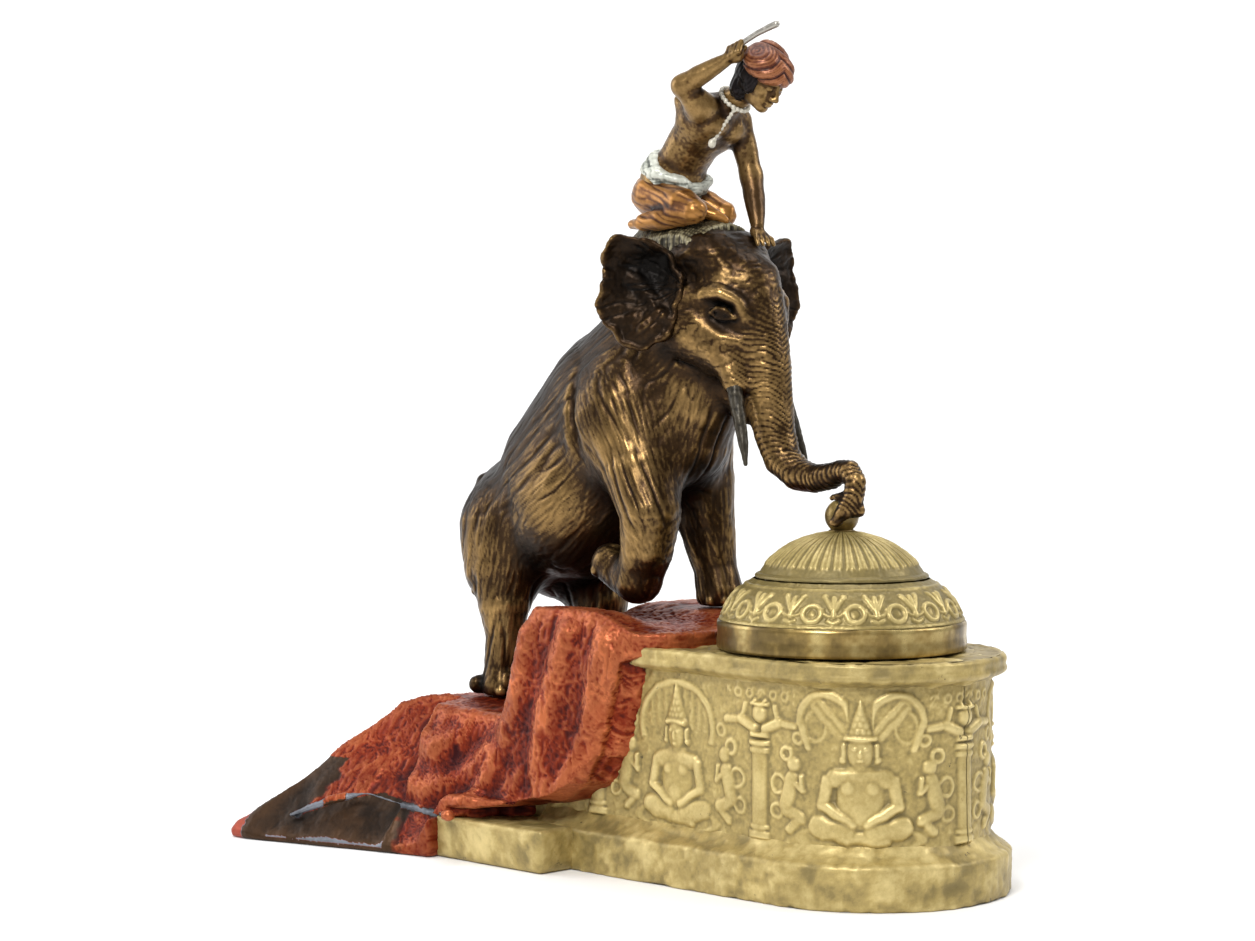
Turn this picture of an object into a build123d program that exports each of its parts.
"""Figural money box: a cast elephant with a seated driver, holding the domed lid of a round well.

The group stands on a relief plinth with a rug thrown over its rear end. Elephant, driver and lid are one
assembly, which tips back on an axle through the hind heels and so lifts the lid off the well.

Frame: millimetres, +Z up, origin on the well's axis in the plane the plinth rests on, +X from the rug towards
the rounded end of the plinth. The elephant faces +X, and its right side is -Y.
"""

import os
from math import sin

from build123d import *

os.makedirs("parts", exist_ok=True)

# ---------------------------------------------------------------- driving dimensions
WALL = 4.0                       # casting wall
FOOT_H = 15.0                    # height of the plinth's foot
PLINTH_TOP = 80.0                # upper level, which carries the well and the left forefoot
TERRACE_TOP = 46.5               # lower level, under the rug
FOOT_HALF, FOOT_END, FOOT_R = 48.0, 60.0, 47.5       # foot: half width, end in X, corner radius
WALL_HALF, WALL_END, WALL_R = 41.0, 53.0, 40.5       # relief wall
CORNICE_HALF, CORNICE_END, CORNICE_R = 46.0, 58.0, 45.5
UPPER_BACK = -104.0              # rear end of the upper block
STEP_X = -82.0                   # where the foot steps out to the wider rear part
REAR_X = -184.0                  # rear end of the foot, under the rug
REAR_FRONT, REAR_BACK = -63.0, 54.0                  # sides of the wide rear foot
TERRACE = (-180.0, -100.0, -44.0, 42.0)              # x0, x1, y0, y1 of the lower block

WELL_R, WELL_FLOOR = 32.0, 34.0  # bore of the well and the level of its floor
SEAT_GAP = 0.3                   # gap under everything that lifts off the plinth
LID_R = 42.3
LID_Z = PLINTH_TOP + SEAT_GAP
LID_BAND = 9.7                   # height of the plain rim
LID_WALL = 2.2
RING_R, RING_Z = 28.8, 105.0     # moulding between the lid's skirt and dome
DOME_TOP = 119.5
KNOB_R, KNOB_Z = 5.8, 124.8

AXLE_X, AXLE_Z, AXLE_R = -157.0, 57.0, 1.5
RUN_CLEAR = 0.05                 # radial running clearance of the axle in its bracket
HIND_PAD = 53.0                  # rug level under the hind feet
FORE_PAD = 88.7                  # rug level under the left forefoot
FOOT_Y = 17.5                    # half the track of the feet


# ---------------------------------------------------------------- helpers
def save(builder, name):
    """Label a finished piece and write its STEP file."""
    builder.part.label = name
    export_step(builder.part, f"parts/{name}.step")


def rounded_end(half, end, radius, back):
    """Plan of the plinth: straight sides, square back, both front corners rounded."""
    with BuildSketch() as plan:
        with Locations(((back + end) / 2, 0)):
            Rectangle(end - back, 2 * half)
        fillet(plan.vertices().group_by(Axis.X)[-1], radius)
    return plan.sketch


def block(x0, x1, y0, y1, z0, z1):
    """Box between two corners."""
    with BuildPart() as made:
        with Locations(((x0 + x1) / 2, (y0 + y1) / 2, (z0 + z1) / 2)):
            Box(x1 - x0, y1 - y0, z1 - z0)
    return made.part


def section_planes(stations):
    """A plane square to the path at each station, with its x direction sideways (+Y)."""
    points = [Vector(*s[:3]) for s in stations]
    planes = []
    for i, point in enumerate(points):
        along = points[min(i + 1, len(points) - 1)] - points[max(i - 1, 0)]
        side = Vector(0, 1, 0) - along * (along.Y / along.length ** 2)
        planes.append(Plane(origin=point, x_dir=side, z_dir=along))
    return planes


def limb(stations):
    """Smooth body through (x, y, z, half width, half depth) stations. A missing depth means nearly round."""
    with BuildPart() as made:
        for plane, station in zip(section_planes(stations), stations):
            half_width = station[3]
            half_depth = station[4] if len(station) > 4 else 1.01 * half_width
            with BuildSketch(plane):
                Ellipse(half_width, half_depth)
        loft()
    return made.part


def ellipsoid(centre, radii, lean=0.0):
    """Ellipsoid, leaned by an angle about Y."""
    with BuildPart() as unit:
        Sphere(1)
        scale(by=tuple(float(r) for r in radii))
    with BuildPart() as made:
        with Locations(Location(centre, (0, lean, 0))):
            add(unit.part)
    return made.part


def rod(start, end, radius):
    """Straight round bar between two points."""
    a, b = Vector(*start), Vector(*end)
    with BuildPart() as made:
        with BuildSketch(Plane(origin=a, z_dir=b - a)):
            Circle(radius)
        extrude(amount=(b - a).length)
    return made.part


def screw(x, y, z_head, head_h, z_tip, head_r, shank_r):
    """Vertical screw, its head's free face at z_head, running up to z_tip."""
    with BuildPart() as made:
        with BuildSketch(Plane.XY.offset(z_head)):
            with Locations((x, y)):
                Circle(head_r)
        extrude(amount=head_h)
        with BuildSketch(Plane.XY.offset(z_head + head_h)):
            with Locations((x, y)):
                Circle(shank_r)
        extrude(amount=z_tip - z_head - head_h)
    return made.part


def blend(x, x0, x1):
    """0 before x0, 1 after x1, smooth between."""
    t = min(1.0, max(0.0, (x - x0) / (x1 - x0)))
    return t * t * (3 - 2 * t)


# ---------------------------------------------------------------- plinth casting
BASE_SCREWS = [(48, 0), (-20, -38), (-20, 38), (-96, -52), (-96, 45), (-173, -36), (-173, 34)]
RUG_SCREWS = [(-168, -28), (-168, 26), (-124, -34), (-108, 30)]
BRACKET_SCREWS = [(AXLE_X + 13, 0), (AXLE_X - 7, 0)]
SCREW_R = 1.5
PLATE_T = 3.0

with BuildPart() as plinth_casting:
    # foot of the rounded part, with a ledge that slopes up to the wall
    add(rounded_end(FOOT_HALF, FOOT_END, FOOT_R, UPPER_BACK))
    extrude(amount=FOOT_H)
    fillet(plinth_casting.edges().group_by(Axis.Z)[-1].sort_by(Axis.X)[1:], 1.2)
    with BuildSketch(Plane.XY.offset(FOOT_H)):
        add(rounded_end(FOOT_HALF - 2, FOOT_END - 2, FOOT_R - 2, UPPER_BACK))
    extrude(amount=4, taper=50)
    # relief wall, cove and cornice
    with BuildSketch(Plane.XY.offset(FOOT_H)):
        add(rounded_end(WALL_HALF, WALL_END, WALL_R, UPPER_BACK))
    extrude(amount=PLINTH_TOP - 6 - FOOT_H)
    with BuildSketch(Plane.XY.offset(PLINTH_TOP - 10)):
        add(rounded_end(WALL_HALF, WALL_END, WALL_R, UPPER_BACK + 4))
    extrude(amount=4.2, taper=-42)
    with BuildSketch(Plane.XY.offset(PLINTH_TOP - 6)):
        add(rounded_end(CORNICE_HALF, CORNICE_END, CORNICE_R, UPPER_BACK))
    extrude(amount=6)
    # wide rear foot and the lower block under the rug
    add(block(REAR_X, STEP_X, REAR_FRONT, REAR_BACK, 0, FOOT_H))
    add(block(TERRACE[0], TERRACE[1], TERRACE[2], TERRACE[3], FOOT_H - 1, TERRACE_TOP))
    # hollow inside, open below for the base plate
    with BuildSketch(Plane.XY):
        add(rounded_end(WALL_HALF - WALL, WALL_END - WALL, WALL_R - WALL, UPPER_BACK + WALL))
    extrude(amount=PLINTH_TOP - WALL, mode=Mode.SUBTRACT)
    add(block(TERRACE[0] + WALL, TERRACE[1], TERRACE[2] + WALL, TERRACE[3] - WALL, 0, TERRACE_TOP - WALL),
        mode=Mode.SUBTRACT)
    # bosses for the base plate's screws
    for x, y in BASE_SCREWS:
        with BuildSketch(Plane.XY):
            with Locations((x, y)):
                Circle(4.5)
        extrude(amount=FOOT_H - 1)
    # rebate for the base plate
    with BuildSketch(Plane.XY):
        add(rounded_end(FOOT_HALF - WALL, FOOT_END - WALL, FOOT_R - WALL, STEP_X - 10))
        with Locations(((REAR_X + STEP_X) / 2, (REAR_FRONT + REAR_BACK) / 2)):
            Rectangle(STEP_X - REAR_X - 2 * WALL, REAR_BACK - REAR_FRONT - 2 * WALL)
    extrude(amount=PLATE_T, mode=Mode.SUBTRACT)
    # screw holes
    for x, y in BASE_SCREWS:
        with Locations((x, y, 6)):
            Cylinder(SCREW_R, 12, mode=Mode.SUBTRACT)
    for x, y in RUG_SCREWS + BRACKET_SCREWS:
        with Locations((x, y, TERRACE_TOP)):
            Cylinder(SCREW_R, 20, mode=Mode.SUBTRACT)
    # seat of the well cup
    with Locations((0, 0, PLINTH_TOP)):
        Cylinder(WELL_R + 1.6, 20, mode=Mode.SUBTRACT)
save(plinth_casting, "plinth_casting")

# ---------------------------------------------------------------- base plate and its screws
with BuildPart() as base_plate:
    with BuildSketch():
        add(rounded_end(FOOT_HALF - WALL - 0.2, FOOT_END - WALL - 0.2, FOOT_R - WALL, STEP_X - 10))
        with Locations(((REAR_X + STEP_X) / 2, (REAR_FRONT + REAR_BACK) / 2)):
            Rectangle(STEP_X - REAR_X - 2 * WALL - 0.4, REAR_BACK - REAR_FRONT - 2 * WALL - 0.4)
    extrude(amount=PLATE_T)
    for x, y in BASE_SCREWS:
        with Locations((x, y, 0.9)):
            Cylinder(3.0, 1.8, mode=Mode.SUBTRACT)
        with Locations((x, y, 2)):
            Cylinder(SCREW_R + 0.2, 4, mode=Mode.SUBTRACT)
save(base_plate, "base_plate")

with BuildPart() as base_plate_screws:
    for x, y in BASE_SCREWS:
        add(screw(x, y, 0.2, 1.6, 11.5, 2.8, SCREW_R))
save(base_plate_screws, "base_plate_screws")

# ---------------------------------------------------------------- well cup
with BuildPart() as well_cup:
    with BuildSketch(Plane.XZ):
        with BuildLine():
            Polyline((0, WELL_FLOOR - 1.6), (WELL_R + 1.6, WELL_FLOOR - 1.6), (WELL_R + 1.6, PLINTH_TOP),
                     (WELL_R + 4, PLINTH_TOP), (WELL_R + 4, PLINTH_TOP + 1.2), (WELL_R, PLINTH_TOP + 1.2),
                     (WELL_R, WELL_FLOOR), (0, WELL_FLOOR), close=True)
        make_face()
    revolve(axis=Axis.Z)
save(well_cup, "well_cup")


# ---------------------------------------------------------------- rug casting
RUG_GRID = 8.0                   # spacing of the points that shape the rug's surface


def rug_height(x, y):
    """Top of the rug: upper level, step down to the lower level, fall to the table at the front and rear."""
    upper = 84.5 + 7.5 * blend(y, -20, -38) * blend(x, -56, -74) + 4 * blend(y, -10, 10) * blend(x, -45, -66)
    lower = 51.5 + 1.2 * sin(x / 9) * blend(abs(y), 24, 36)
    level = lower + (upper - lower) * blend(x, -116, -101)
    rear_part = blend(x, -128, -146)
    foot_level = 22.5 - 19.5 * rear_part
    front = blend(y, -47, -58 - 12 * rear_part)
    back = blend(y, 47, 58)
    rear = blend(x + 0.25 * y, -183, -214)
    on_foot = foot_level + (level - foot_level) * (1 - front) * (1 - back)
    return 3.0 + (on_foot - 3.0) * (1 - rear)


RUG_X = [-238 + RUG_GRID * i for i in range(27)]
RUG_Y = [-96 + RUG_GRID * j for j in range(21)]

with BuildPart() as rug_form:
    surface = Face.make_surface_from_array_of_points(
        [[Vector(x, y, rug_height(x, y)) for y in RUG_Y] for x in RUG_X], min_deg=2, max_deg=3, tol=0.5)
    add(extrude(surface, amount=120, dir=(0, 0, -1), mode=Mode.PRIVATE))
    # plan outline of the rug: one corner trails forward onto the table
    with BuildSketch(Plane.XY):
        with BuildLine():
            Spline((-47, 0), (-38, -30), (-46, -50), (-84, -57), (-140, -67), (-190, -80), (-226, -88),
                   (-222, -50), (-214, 0), (-206, 46), (-150, 59), (-104, 57), (-70, 49), (-50, 38), (-47, 0))
        make_face()
    extrude(amount=120, mode=Mode.INTERSECT)
    # bedded on the plinth
    add(block(UPPER_BACK, 80, -CORNICE_HALF, CORNICE_HALF, PLINTH_TOP - 6.5, PLINTH_TOP), mode=Mode.SUBTRACT)
    add(block(UPPER_BACK, 80, -WALL_HALF - 4.5, WALL_HALF + 4.5, 19, PLINTH_TOP - 6), mode=Mode.SUBTRACT)
    add(block(UPPER_BACK, 80, -FOOT_HALF, FOOT_HALF, 0, 19.5), mode=Mode.SUBTRACT)
    add(block(*TERRACE, 0, TERRACE_TOP), mode=Mode.SUBTRACT)
    add(block(REAR_X, STEP_X, REAR_FRONT, REAR_BACK + 20, 0, FOOT_H), mode=Mode.SUBTRACT)
    add(block(-137, -20, REAR_FRONT - 20, REAR_FRONT, 0, FOOT_H), mode=Mode.SUBTRACT)
    add(block(STEP_X, -20, -FOOT_HALF - 20, FOOT_HALF + 20, 0, 19.5), mode=Mode.SUBTRACT)
    # clear of the lid as it swings up
    with Locations((0, 0, PLINTH_TOP + 20)):
        Cylinder(LID_R + 2.5, 40, mode=Mode.SUBTRACT)
    # flat pads under the feet, and holes for the screws
    add(block(-162, -119, -FOOT_Y - 13, FOOT_Y + 13, HIND_PAD, 66), mode=Mode.SUBTRACT)
    add(block(-88, -59, FOOT_Y - 12, FOOT_Y + 12, FORE_PAD, 100), mode=Mode.SUBTRACT)
    for x, y in RUG_SCREWS:
        with Locations((x, y, 44)):
            Cylinder(SCREW_R, 12, mode=Mode.SUBTRACT)
    for x, y in BRACKET_SCREWS:
        with Locations((x, y, 50)):
            Cylinder(SCREW_R, 20, mode=Mode.SUBTRACT)

RUG_SPLIT = -116.0               # the rug is cast in two pieces, which meet at the foot of the step

with BuildPart() as rug_upper:
    add(rug_form.part)
    add(block(-300, RUG_SPLIT, -200, 200, -1, 200), mode=Mode.SUBTRACT)
save(rug_upper, "rug_upper")

with BuildPart() as rug_lower:
    add(rug_form.part)
    add(block(RUG_SPLIT, 100, -200, 200, -1, 200), mode=Mode.SUBTRACT)
save(rug_lower, "rug_lower")

with BuildPart() as rug_screws:
    for x, y in RUG_SCREWS:
        add(screw(x, y, TERRACE_TOP - WALL - 2, 2, 50, 2.8, SCREW_R))
save(rug_screws, "rug_screws")


# ---------------------------------------------------------------- hinge bracket, its screws and the axle
BRACKET_HALF = 6.0               # half the width of the bracket, between the hind feet
KNUCKLE_R = 3.6                  # round heel and knuckle about the axle

with BuildPart() as hinge_bracket:
    add(block(AXLE_X - 11, AXLE_X + 17, -BRACKET_HALF, BRACKET_HALF, HIND_PAD, HIND_PAD + 2.6))
    add(block(AXLE_X - KNUCKLE_R, AXLE_X + KNUCKLE_R, -BRACKET_HALF, BRACKET_HALF, HIND_PAD + 2, AXLE_Z))
    with Locations(Location((AXLE_X, 0, AXLE_Z), (90, 0, 0))):
        Cylinder(KNUCKLE_R, 2 * BRACKET_HALF)
        Cylinder(AXLE_R + RUN_CLEAR, 2 * BRACKET_HALF + 2, mode=Mode.SUBTRACT)
    for x, y in BRACKET_SCREWS:
        with Locations((x, y, HIND_PAD)):
            Cylinder(SCREW_R, 12, mode=Mode.SUBTRACT)
save(hinge_bracket, "hinge_bracket")

with BuildPart() as bracket_screws:
    for x, y in BRACKET_SCREWS:
        add(screw(x, y, TERRACE_TOP - WALL - 2, 2, HIND_PAD + 2.4, 2.8, SCREW_R))
save(bracket_screws, "bracket_screws")

AXLE_ENDS = (-24.0, 20.0)        # the axle's ends in Y
axle = rod((AXLE_X, AXLE_ENDS[0], AXLE_Z), (AXLE_X, AXLE_ENDS[1], AXLE_Z), AXLE_R)

with BuildPart() as hinge_axle:
    add(axle)
save(hinge_axle, "hinge_axle")

# ---------------------------------------------------------------- elephant, outer forms
TORSO = [(-176, 0, 106, 17, 18), (-160, 0, 116, 26, 28), (-132, 0, 134, 31, 34), (-106, 0, 156, 30, 38),
         (-86, 0, 176, 26, 36), (-74, 0, 192, 20, 26)]
SKIN = 4.0                       # wall of the hollow castings
CRANIUM = ((-66, 0, 198), (28, 24, 26.5))
FACE = ((-50, 0, 187), (17.5, 17.5, 22))
JAW = ((-50, 0, 168), (13, 11, 12))
RUMP = ((-165, 0, 112), (22, 25, 27))

with BuildPart() as torso_form:
    add(limb(TORSO))
    add(ellipsoid(*RUMP))

with BuildPart() as head_form:
    add(ellipsoid(*CRANIUM))
    add(ellipsoid(*FACE))
    add(ellipsoid(*JAW))

hollow_of_torso = limb([(x, y, z, w - SKIN, d - SKIN) for x, y, z, w, d in TORSO])
hollow_of_head = ellipsoid((-64, 0, 197), (22, 18, 20))

HIND_RIGHT = [(-158, -15, 114, 13, 19), (-156, -18, 99, 12.5, 16), (-152, -18, 87, 11, 12),
              (-150, -18, 75, 8.5, 9), (-149.5, -18, 64, 8.5, 9), (-149, -18, 58, 10.2, 10.5),
              (-149, -18, HIND_PAD + SEAT_GAP, 10.2, 10.5)]
HIND_LEFT = [(-148, 15, 114, 13, 19), (-142, 18, 99, 12.5, 16), (-136, 18, 87, 11, 12),
             (-133, 18, 75, 8.5, 9), (-131, 18, 64, 8.5, 9), (-130, 18, 58, 10.2, 10.5),
             (-130, 18, HIND_PAD + SEAT_GAP, 10.2, 10.5)]
FORE_LEFT = [(-88, 15, 150, 12, 17), (-84, 18, 130, 11, 12.5), (-79, 18, 114, 9.5, 10),
             (-75, 18, 102, 8, 8.2), (-73, 18, 94, 9.2, 9.4), (-73, 18, FORE_PAD + SEAT_GAP, 9.2, 9.4)]
FORE_RIGHT = [(-88, -15, 152, 12, 18), (-75, -20, 134, 11, 13), (-71, -20, 120, 10, 11.5),
              (-73, -20, 108, 9, 9.5), (-80, -20, 101, 8.2, 8.4), (-87, -20, 98, 8.2, 8.6)]
TRUNK = [(-40, 0, 186, 10, 11), (-35, 0, 173, 9, 9.6), (-32.5, 0, 160, 8.4, 8.9), (-29.5, 0, 148.5, 7.8, 8.2),
         (-21.5, 0, 139, 7, 7.2), (-9, 0, 136, 6.8, 6.9), (1, -1, 138, 5.8, 5.9), (8, -2, 138.5, 5.2, 5.3),
         (12.5, -3, 134.5, 4.8, 4.9), (12.5, -4, 129, 4.4, 4.5), (9, -5, 125.5, 3.6, 3.7)]
GRIP = ((5, -2, 130.5), (7.5, 5, 4.5))
TAIL = [(-181, 0, 128, 3.5), (-188, 0, 118, 2.6), (-189, 1, 105, 2.0), (-186, 2, 92, 2.4)]
TUSK = [(-43, 11, 178, 3.2), (-37.5, 12.3, 165, 2.6), (-33.5, 13.8, 152, 2.0), (-30, 15.5, 141.5, 0.9)]
LEG_DOWELS = [((-157, -17, 98), (-158, -16, 88 + 20)), ((-144, 17, 98), (-147, 15.5, 108)),
              ((-85, 17, 128), (-88, 15, 142)), ((-76, -20, 131), (-84, -16, 144))]
DOWEL_R = 2.0


def largest(part):
    """The biggest solid of a part, dropping slivers that a cut leaves."""
    return part.solids().sort_by(SortBy.VOLUME)[-1]


def bones(*joints):
    """Straight tapered segments with round joints, through (x, y, z, radius) points."""
    with BuildPart() as made:
        for a, b in zip(joints, joints[1:]):
            add(limb([a, b]))
        for joint in joints:
            add(ellipsoid(joint[:3], (1.03 * joint[3],) * 3))
    return made.part


def mirrored(stations):
    """The same stations on the other side of the elephant's middle plane."""
    return [(s[0], -s[1], *s[2:]) for s in stations]


def cut_limb(stations, *cutters):
    """A limb less its neighbours, as one solid."""
    with BuildPart() as made:
        add(limb(stations))
        for cutter in cutters:
            add(cutter, mode=Mode.SUBTRACT)
    return largest(made.part)


dowels = [rod(start, end, DOWEL_R) for start, end in LEG_DOWELS]
knob = ellipsoid((0, 0, KNOB_Z), (KNOB_R, KNOB_R, KNOB_R))

# ---------------------------------------------------------------- elephant castings
with BuildPart() as elephant_torso:
    add(torso_form.part)
    add(hollow_of_torso, mode=Mode.SUBTRACT)
    for dowel in dowels:
        add(dowel, mode=Mode.SUBTRACT)
save(elephant_torso, "elephant_torso")

BOLT_X, BOLT_R, BOLT_HEAD_R, BOLT_SEAT = -78.0, 2.0, 4.2, 211.0      # screw that holds the driver
rider_bolt = rod((BOLT_X, 0, BOLT_SEAT), (BOLT_X, 0, 240), BOLT_R)
bolt_head = rod((BOLT_X, 0, BOLT_SEAT - 2.5), (BOLT_X, 0, BOLT_SEAT), BOLT_HEAD_R)

with BuildPart() as elephant_head:
    add(head_form.part)
    add(torso_form.part, mode=Mode.SUBTRACT)
    add(hollow_of_head, mode=Mode.SUBTRACT)
    add(rider_bolt, mode=Mode.SUBTRACT)
    add(bolt_head, mode=Mode.SUBTRACT)
head_solid = largest(elephant_head.part)

with BuildPart() as tusk_right:
    add(limb(mirrored(TUSK)))
save(tusk_right, "tusk_right")

with BuildPart() as tusk_left:
    add(limb(TUSK))
save(tusk_left, "tusk_left")

with BuildPart() as elephant_head:
    add(head_solid)
    add(tusk_right.part, mode=Mode.SUBTRACT)
    add(tusk_left.part, mode=Mode.SUBTRACT)
save(elephant_head, "elephant_head")


def leg(stations, *cutters):
    """A leg cut clear of the torso, its dowel and anything else that is given."""
    return cut_limb(stations, torso_form.part, head_form.part, *dowels, *cutters)


heel_space = block(AXLE_X - 12, AXLE_X, -32, 0, HIND_PAD - 4, AXLE_Z)

with BuildPart() as hind_leg_right:
    add(leg(HIND_RIGHT, heel_space))
    with Locations(Location((AXLE_X, -18, AXLE_Z), (90, 0, 0))):
        Cylinder(KNUCKLE_R, 14)
    add(axle, mode=Mode.SUBTRACT)
save(hind_leg_right, "hind_leg_right")

with BuildPart() as hind_leg_left:
    add(leg(HIND_LEFT))
    add(block(AXLE_X, -131, 10, 18, AXLE_Z - KNUCKLE_R + 0.2, AXLE_Z + KNUCKLE_R))
    with Locations(Location((AXLE_X, 14, AXLE_Z), (90, 0, 0))):
        Cylinder(KNUCKLE_R, 8)
    add(axle, mode=Mode.SUBTRACT)
save(hind_leg_left, "hind_leg_left")

with BuildPart() as foreleg_left:
    add(leg(FORE_LEFT))
save(foreleg_left, "foreleg_left")

with BuildPart() as foreleg_right:
    add(leg(FORE_RIGHT))
save(foreleg_right, "foreleg_right")

with BuildPart() as leg_dowels:
    for dowel in dowels:
        add(dowel)
save(leg_dowels, "leg_dowels")

with BuildPart() as tail:
    add(cut_limb(TAIL, torso_form.part))
save(tail, "tail")

# ---------------------------------------------------------------- ears
EAR_OUTLINE = [(0, 16), (9, 24), (20, 22), (28, 8), (26, -8), (14, -20), (5, -18), (0, -6)]
EAR_T = 2.6


def ear(side, back, out):
    """Ear leaf that runs back and out from the head; side is -1 for the right ear."""
    leaf = Plane(origin=(-59, side * 19.5, 201), x_dir=(-back, side * out, 0), z_dir=(out, side * back, 0))
    with BuildPart() as made:
        with BuildSketch(leaf):
            with BuildLine():
                Spline(*EAR_OUTLINE, EAR_OUTLINE[0])
            make_face()
        extrude(amount=EAR_T)
        add(head_form.part, mode=Mode.SUBTRACT)
        add(torso_form.part, mode=Mode.SUBTRACT)
    return largest(made.part)


with BuildPart() as ear_right:
    add(ear(-1, 0.906, 0.423))
save(ear_right, "ear_right")

with BuildPart() as ear_left:
    add(ear(1, 0.30, 0.954))
save(ear_left, "ear_left")

# ---------------------------------------------------------------- lid: rim, dome, knob and its stud
with BuildPart() as lid_rim:
    with BuildSketch(Plane.XZ):
        with BuildLine():
            Polyline((LID_R - LID_WALL, LID_Z), (LID_R - 0.5, LID_Z), (LID_R, LID_Z + 0.5),
                     (LID_R, LID_Z + LID_BAND - 0.5), (LID_R - 0.5, LID_Z + LID_BAND),
                     (LID_R - LID_WALL, LID_Z + LID_BAND), close=True)
        make_face()
    revolve(axis=Axis.Z)
save(lid_rim, "lid_rim")

DOME_WALL = 2.2
DOME_BASE = LID_Z + LID_BAND     # the dome casting sits on the rim
STUD_R = 1.6

with BuildPart() as lid_dome:
    with BuildSketch(Plane.XZ):
        with BuildLine():
            outer = Spline((LID_R - 1.0, DOME_BASE), (LID_R - 6, DOME_BASE + 9.5), (RING_R + 1, RING_Z - 1.2))
            Polyline(outer @ 1, (RING_R + 1, RING_Z + 0.6), (RING_R - 1, RING_Z + 0.6))
            top = Spline((RING_R - 1, RING_Z + 0.6), (RING_R - 11, DOME_TOP - 4.5), (4, DOME_TOP))
            Polyline(top @ 1, (0, DOME_TOP), (0, DOME_TOP - DOME_WALL), (4, DOME_TOP - DOME_WALL))
            under = Spline((4, DOME_TOP - DOME_WALL), (RING_R - 12, DOME_TOP - 6.6), (RING_R - 3.2, RING_Z - 2))
            inner = Spline(under @ 1, (LID_R - 9, DOME_BASE + 8), (LID_R - LID_WALL - 1, DOME_BASE))
            Polyline(inner @ 1, outer @ 0)
        make_face()
    revolve(axis=Axis.Z)
    with Locations((0, 0, DOME_TOP)):
        Cylinder(STUD_R, 20, mode=Mode.SUBTRACT)
save(lid_dome, "lid_dome")

stud = rod((0, 0, DOME_TOP - DOME_WALL - 1.5), (0, 0, KNOB_Z + 3), STUD_R)

with BuildPart() as knob_stud:
    add(stud)
    with BuildSketch(Plane.XY.offset(DOME_TOP - DOME_WALL - 1.6)):
        RegularPolygon(3.4, 6)
    extrude(amount=1.6)
save(knob_stud, "knob_stud")

with BuildPart() as lid_knob:
    add(knob)
    with BuildSketch(Plane.XY.offset(DOME_TOP)):
        Circle(4.2)
    extrude(amount=1.8)
    add(block(-9, 9, -9, 9, DOME_TOP - 5, DOME_TOP), mode=Mode.SUBTRACT)
    add(stud, mode=Mode.SUBTRACT)
save(lid_knob, "lid_knob")

with BuildPart() as trunk:
    add(limb(TRUNK))
    add(ellipsoid(*GRIP))
    for cutter in (head_form.part, knob, stud, tusk_right.part, tusk_left.part, lid_dome.part):
        add(cutter, mode=Mode.SUBTRACT)
save(trunk, "trunk")

# ---------------------------------------------------------------- head cloth and driver
SEAT_Z = 226.5                   # level of the cloth under the driver

with BuildPart() as head_cloth:
    add(ellipsoid(CRANIUM[0], tuple(r + 2.0 for r in CRANIUM[1])))
    add(block(-97, -46, -18, 18, 206, SEAT_Z + 3), mode=Mode.INTERSECT)
    add(ellipsoid((-79, 0, SEAT_Z - 11), (19, 16, 12.5)))
    add(head_form.part, mode=Mode.SUBTRACT)
    add(torso_form.part, mode=Mode.SUBTRACT)
    add(rider_bolt, mode=Mode.SUBTRACT)
cloth_solid = largest(head_cloth.part)

LEG_RIGHT = [(-82, -6, 235.5, 7.6), (-55, -12.5, 230, 5.2), (-75, -14.5, 225.5, 4)]
LEG_LEFT = [(-84, 6, 235.5, 7.6), (-65, 12, 230, 5.2), (-82, 14.5, 225.5, 4)]
TRUNK_OF_RIDER = [(-80, 0, 243, 11.5, 10.5), (-72, 0, 251, 11, 9.6), (-63, -1, 259, 12.5, 9.6),
                  (-56, -1, 265, 13.5, 8.2), (-51, -1, 269, 8, 5)]
NECK = ((-53, -1, 266), (-40, -2, 272), 4.4)
SKULL = ((-35, -2, 274), (8.6, 8, 10.2))
TURBAN = ((-32.5, 0, 281), (11, 9.8, 7))
ARM_RIGHT = [(-51, -12.5, 265.5, 4.6), (-58, -20.5, 273.5, 3.9), (-42, -14, 283, 2.6)]
ARM_LEFT = [(-58, 10, 262, 4.6), (-57, 13.5, 251, 4.2), (-55, 14.5, 242, 3.7), (-51.5, 12.5, 233, 3.3),
            (-47, 9, 223.5, 2.6)]
FIST = ((-38.5, -12, 284.2), (3.8, 3.6, 4.2))
HAND_LEFT = ((-44.5, 8.5, 222), (5, 3.6, 2.6))
GOAD = [(-50, -14, 281), (-37, -12, 286), (-21, -9, 292)]
GOAD_R = 1.3

with BuildPart() as rider_legs:
    add(ellipsoid((-84, 0, 236), (13, 14, 10)))
    add(bones(*LEG_RIGHT))
    add(bones(*LEG_LEFT))
    add(head_form.part, mode=Mode.SUBTRACT)
    add(torso_form.part, mode=Mode.SUBTRACT)
    add(cloth_solid, mode=Mode.SUBTRACT)
    add(rider_bolt, mode=Mode.SUBTRACT)
legs_solid = largest(rider_legs.part)

with BuildPart() as rider_legs:
    add(legs_solid)
save(rider_legs, "rider_legs")

with BuildPart() as head_cloth:
    add(cloth_solid)
save(head_cloth, "head_cloth")

with BuildPart() as rider_screw:
    add(rider_bolt)
    add(bolt_head)
save(rider_screw, "rider_screw")

with BuildPart() as sash:
    add(limb([(-82, 0, 239, 13.6, 12.6), (-79, 0, 242.5, 14.2, 13.2), (-75, 0, 246.5, 13.2, 12.2)]))
    add(rider_legs.part, mode=Mode.SUBTRACT)
    add(rider_bolt, mode=Mode.SUBTRACT)
sash_ring = largest(sash.part)

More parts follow.
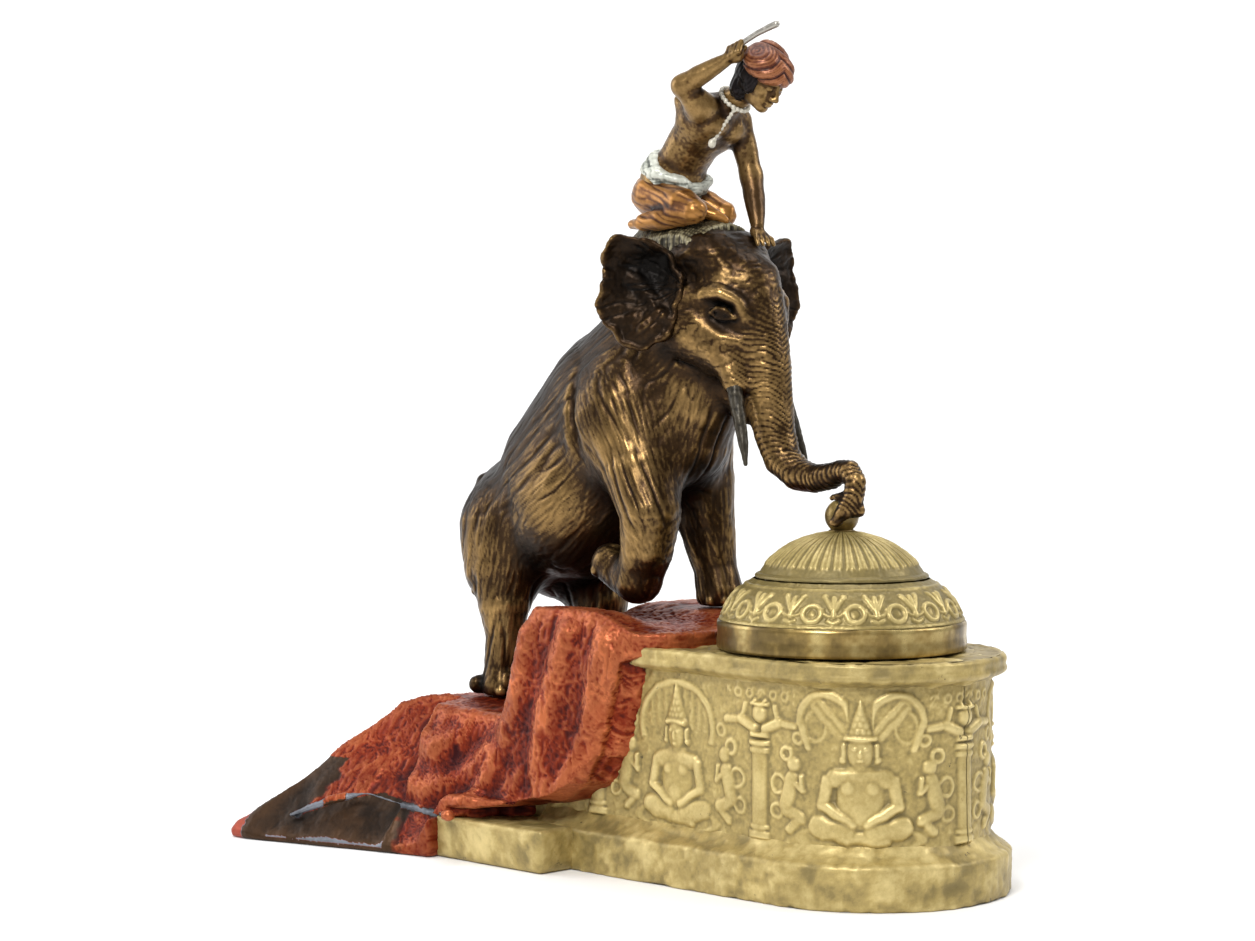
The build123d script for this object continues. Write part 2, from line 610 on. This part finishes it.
with BuildPart() as rider_torso:
    add(limb(TRUNK_OF_RIDER))
    add(rider_legs.part, mode=Mode.SUBTRACT)
    add(rider_bolt, mode=Mode.SUBTRACT)
torso_of_rider = largest(rider_torso.part)

with BuildPart() as sash:
    add(sash_ring)
    add(torso_of_rider, mode=Mode.SUBTRACT)
sash_ring = largest(sash.part)

with BuildPart() as sash:
    add(sash_ring)
save(sash, "sash")

with BuildPart() as rider_head:
    add(ellipsoid(*SKULL))
    add(rod(*NECK))
    add(torso_of_rider, mode=Mode.SUBTRACT)
head_of_rider = largest(rider_head.part)

with BuildPart() as necklace:
    with Locations(Location((-48, -1, 267.8), (0, 48, 0))):
        Torus(6.4, 1.0)
    add(torso_of_rider, mode=Mode.SUBTRACT)
    add(head_of_rider, mode=Mode.SUBTRACT)
necklace_solid = largest(necklace.part)

with BuildPart() as necklace:
    add(necklace_solid)
save(necklace, "necklace")

with BuildPart() as rider_torso:
    add(torso_of_rider)
save(rider_torso, "rider_torso")

with BuildPart() as rider_head:
    add(head_of_rider)
save(rider_head, "rider_head")

with BuildPart() as turban:
    add(ellipsoid(*TURBAN))
    add(rider_head.part, mode=Mode.SUBTRACT)
save(turban, "turban")

with BuildPart() as goad:
    add(rod(GOAD[0], GOAD[1], GOAD_R))
    add(rod(GOAD[1], GOAD[2], GOAD_R))
    add(ellipsoid(GOAD[1], (GOAD_R, GOAD_R, GOAD_R)))
save(goad, "goad")

with BuildPart() as rider_arm_right:
    add(bones(*ARM_RIGHT))
    add(ellipsoid(*FIST))
    for cutter in (torso_of_rider, goad.part, turban.part, rider_head.part, necklace_solid):
        add(cutter, mode=Mode.SUBTRACT)
arm_solid = largest(rider_arm_right.part)

with BuildPart() as rider_arm_right:
    add(arm_solid)
save(rider_arm_right, "rider_arm_right")

with BuildPart() as rider_arm_left:
    add(limb(ARM_LEFT))
    add(ellipsoid(*HAND_LEFT))
    for cutter in (torso_of_rider, cloth_solid, head_form.part, necklace_solid, rider_legs.part, sash_ring):
        add(cutter, mode=Mode.SUBTRACT)
arm_solid = largest(rider_arm_left.part)

with BuildPart() as rider_arm_left:
    add(arm_solid)
save(rider_arm_left, "rider_arm_left")
